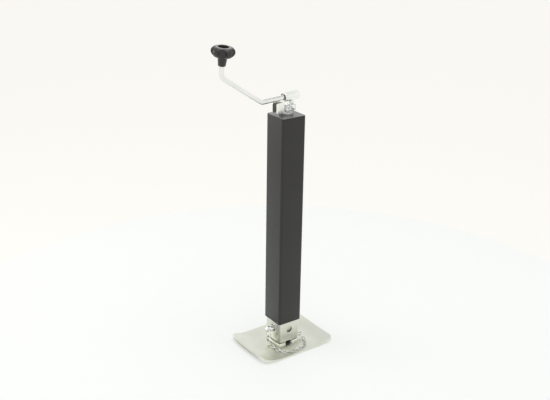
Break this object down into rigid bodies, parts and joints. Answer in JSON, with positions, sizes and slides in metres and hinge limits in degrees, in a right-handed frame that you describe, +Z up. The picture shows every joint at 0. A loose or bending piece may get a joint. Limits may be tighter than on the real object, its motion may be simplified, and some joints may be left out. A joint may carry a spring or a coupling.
{
  "type": "trailer jack",
  "caption": "Drop leg trailer jack: square black tube with a plated screw ram, a pinned drop leg on a foot plate, a pull pin on a chain and a folding top crank.",
  "frame": {"origin": "centre of the foot plate's underside, on the ground", "axes": "+Z up along the tube, X along the foot plate's long side, the crank towards -X and the pull pin towards -X at rest"},
  "size_m": [0.3334, 0.158, 0.7983],
  "materials": {
    "black_paint": "black semi-gloss powder coat",
    "zinc_plate": "zinc plated with a faint yellow-green tint",
    "weld_metal": "plated weld bead",
    "bright_zinc": "bright zinc",
    "black_steel": "black oxide",
    "machined_steel": "turned and oiled",
    "bearing_steel": "ground",
    "cage_brass": "pressed",
    "knob_plastic": "moulded, satin",
    "spring_steel": "plated spring steel"
  },
  "bodies": {
    "tube": {"outer_tube": "black_paint", "top_cap": "black_paint", "cap_bushing": "cage_brass", "upper_race": "bearing_steel", "thrust_washer": "bright_zinc"},
    "screw": {"lead_screw": "machined_steel", "lower_race": "bearing_steel", "screw_stop_pin": "black_steel", "head_yoke": "bright_zinc", "yoke_pin": "black_steel", "rod_saddle": "bright_zinc", "fold_pin": "black_steel"},
    "bearing": {"ball_cage": "cage_brass", "thrust_balls": "bearing_steel"},
    "tee": {"tee_head": "bright_zinc"},
    "crank": {"crank_rod": "bright_zinc", "rod_clips": "bright_zinc", "knob_push_nut": "spring_steel"},
    "grip": {"knob": "knob_plastic"},
    "ram": {"ram_tube": "zinc_plate", "nut_plate": "machined_steel", "lead_nut": "machined_steel", "chain_anchor": "zinc_plate", "pin_chain": "bright_zinc"},
    "pin": {"pull_pin": "bright_zinc", "pin_ring": "bright_zinc"},
    "foot": {"drop_leg": "zinc_plate", "foot_plate": "zinc_plate", "foot_weld": "weld_metal"}
  },
  "joints": [
    {"name": "crank_turn", "type": "hinge", "parent": "tube", "child": "screw", "pos_m": [0, 0, 0.608], "axis": [0, 0, -1], "range_deg": [0, 23760]},
    {"name": "cage_turn", "type": "hinge", "parent": "tube", "child": "bearing", "pos_m": [0, 0, 0.598], "axis": [0, 0, -1], "range_deg": [0, 11881]},
    {"name": "head_fold", "type": "hinge", "parent": "screw", "child": "tee", "pos_m": [0.01485, 0.00209, 0.624], "axis": [-0.1392, 0.9903, 0], "range_deg": [0, 70]},
    {"name": "handle_roll", "type": "hinge", "parent": "tee", "child": "crank", "pos_m": [0, 0, 0.65], "axis": [-0.9903, -0.1392, 0], "continuous": true},
    {"name": "knob_spin", "type": "hinge", "parent": "crank", "child": "grip", "pos_m": [-0.20283, -0.03841, 0.7299], "axis": [0.0342, -0.1182, 0.9924], "continuous": true},
    {"name": "ram_slide", "type": "slide", "parent": "tube", "child": "ram", "axis": [0, 0, -1], "range_m": [0, 0.3301]},
    {"name": "pin_pull", "type": "slide", "parent": "ram", "child": "pin", "axis": [-1, 0, 0], "range_m": [0, 0.07], "deforming": ["pin_chain"]},
    {"name": "drop_leg_slide", "type": "slide", "parent": "ram", "child": "foot", "axis": [0, 0, -1], "range_m": [0, 0.3429]}
  ],
  "couplings": [
    {"joint": "ram_slide", "follows": "crank_turn", "m_per_rad": 0.00079577},
    {"joint": "cage_turn", "follows": "crank_turn", "ratio": 0.5}
  ]
}
